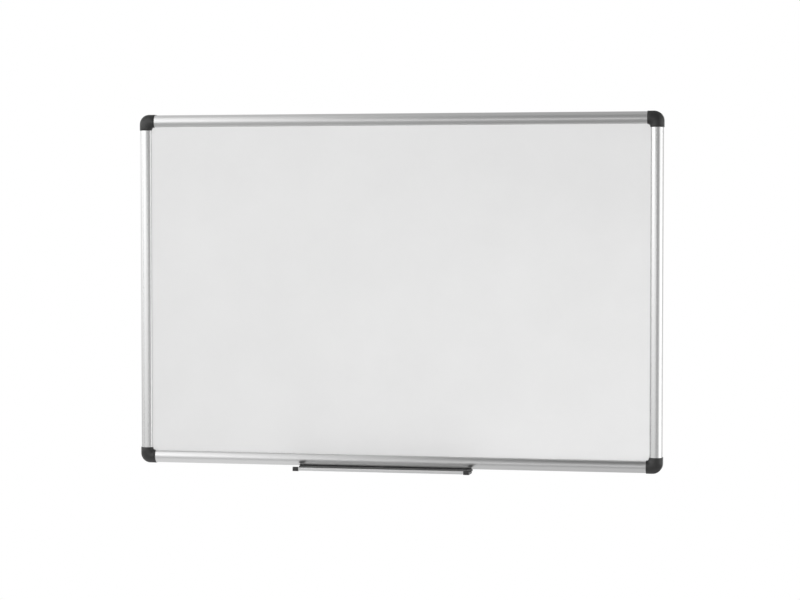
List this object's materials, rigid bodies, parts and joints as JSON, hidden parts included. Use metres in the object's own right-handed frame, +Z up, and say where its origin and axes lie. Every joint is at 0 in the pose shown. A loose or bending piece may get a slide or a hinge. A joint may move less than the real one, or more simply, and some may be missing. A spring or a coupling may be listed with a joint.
{
  "type": "whiteboard",
  "caption": "Landscape magnetic whiteboard in a half-round aluminium frame with black pull-off corner caps and a short sliding pen tray.",
  "frame": {"origin": "on the wall plane, behind the middle of the board", "axes": "+X along the board, to the right as seen from its front; +Y into the wall; +Z up"},
  "size_m": [0.9, 0.0539, 0.6046],
  "materials": {
    "lacquered_steel": "glossy light grey lacquer",
    "honeycomb_card": "plain brown",
    "galvanised_steel": "dull zinc",
    "anodised_aluminium": "satin silver",
    "black_abs": "satin, finely grained",
    "grey_nylon": "satin",
    "plated_steel": "bright zinc",
    "black_rubber": "matt, ribbed"
  },
  "bodies": {
    "board": {"writing_sheet": "lacquered_steel", "core_board": "honeycomb_card", "backing_sheet": "galvanised_steel", "rail_top": "anodised_aluminium", "rail_bottom": "anodised_aluminium", "rail_left": "anodised_aluminium", "rail_right": "anodised_aluminium", "corner_key_bottom_left": "grey_nylon", "corner_key_bottom_right": "grey_nylon", "corner_key_top_right": "grey_nylon", "corner_key_top_left": "grey_nylon", "screw_bottom_rail_left_end": "plated_steel", "screw_bottom_rail_right_end": "plated_steel", "screw_top_rail_left_end": "plated_steel", "screw_top_rail_right_end": "plated_steel", "screw_left_rail_bottom_end": "plated_steel", "screw_left_rail_top_end": "plated_steel", "screw_right_rail_bottom_end": "plated_steel", "screw_right_rail_top_end": "plated_steel"},
    "cap_bottom_left": {"corner_cap_bottom_left": "black_abs"},
    "cap_bottom_right": {"corner_cap_bottom_right": "black_abs"},
    "cap_top_right": {"corner_cap_top_right": "black_abs"},
    "cap_top_left": {"corner_cap_top_left": "black_abs"},
    "tray": {"tray_channel": "anodised_aluminium", "tray_buffer": "black_rubber", "tray_end_cap_left": "black_abs", "tray_end_cap_right": "black_abs"}
  },
  "joints": [
    {"name": "tray_slide", "type": "slide", "parent": "board", "child": "tray", "axis": [1, 0, 0], "range_m": [-0.2515, 0.2895]},
    {"name": "pull_off_cap_bottom_left", "type": "slide", "parent": "board", "child": "cap_bottom_left", "axis": [0, -1, 0], "range_m": [0, 0.022]},
    {"name": "pull_off_cap_bottom_right", "type": "slide", "parent": "board", "child": "cap_bottom_right", "axis": [0, -1, 0], "range_m": [0, 0.022]},
    {"name": "pull_off_cap_top_right", "type": "slide", "parent": "board", "child": "cap_top_right", "axis": [0, -1, 0], "range_m": [0, 0.022]},
    {"name": "pull_off_cap_top_left", "type": "slide", "parent": "board", "child": "cap_top_left", "axis": [0, -1, 0], "range_m": [0, 0.022]}
  ]
}
